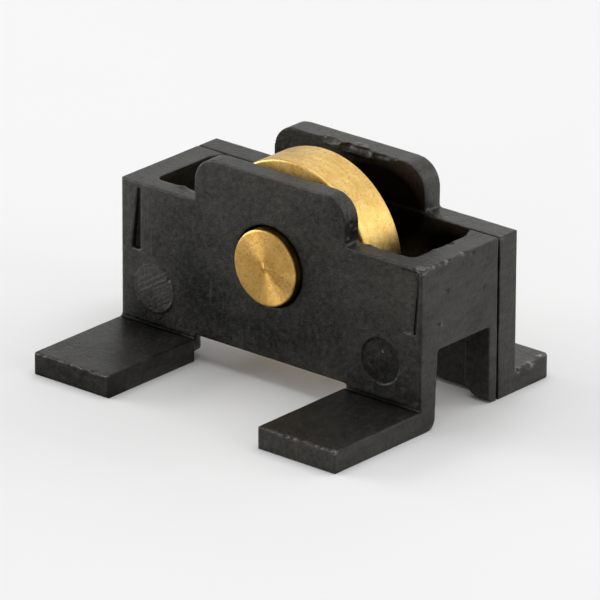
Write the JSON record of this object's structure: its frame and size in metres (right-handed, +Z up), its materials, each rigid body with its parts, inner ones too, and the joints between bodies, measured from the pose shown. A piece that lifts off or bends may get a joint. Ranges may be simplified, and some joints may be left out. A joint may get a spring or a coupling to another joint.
{
  "type": "sliding door roller",
  "caption": "Flat-tread brass wheel on a brass axle in a split moulded housing with upright ears and projecting flat feet, for a sliding door or window panel.",
  "frame": {"origin": "centre of the footprint, at the undersides of the feet", "axes": "+X along the housing, +Y from the face with the long feet to the face with the short feet (along the axle), +Z up, from the feet to the wheel's exposed tread"},
  "size_m": [0.0278, 0.0234, 0.0162],
  "materials": {
    "front_plastic": "matt black moulding with scuffed edges",
    "rear_plastic": "satin black moulding",
    "wheel_brass": "turned, satin, lightly tarnished",
    "axle_brass": "turned and faced"
  },
  "bodies": {
    "housing": {"front_housing": "front_plastic", "rear_housing": "rear_plastic"},
    "wheel_set": {"wheel": "wheel_brass", "axle": "axle_brass"}
  },
  "joints": [
    {"name": "wheel_spin", "type": "hinge", "parent": "housing", "child": "wheel_set", "pos_m": [0, 0.00178, 0.00901], "axis": [0, 1, 0], "continuous": true}
  ]
}
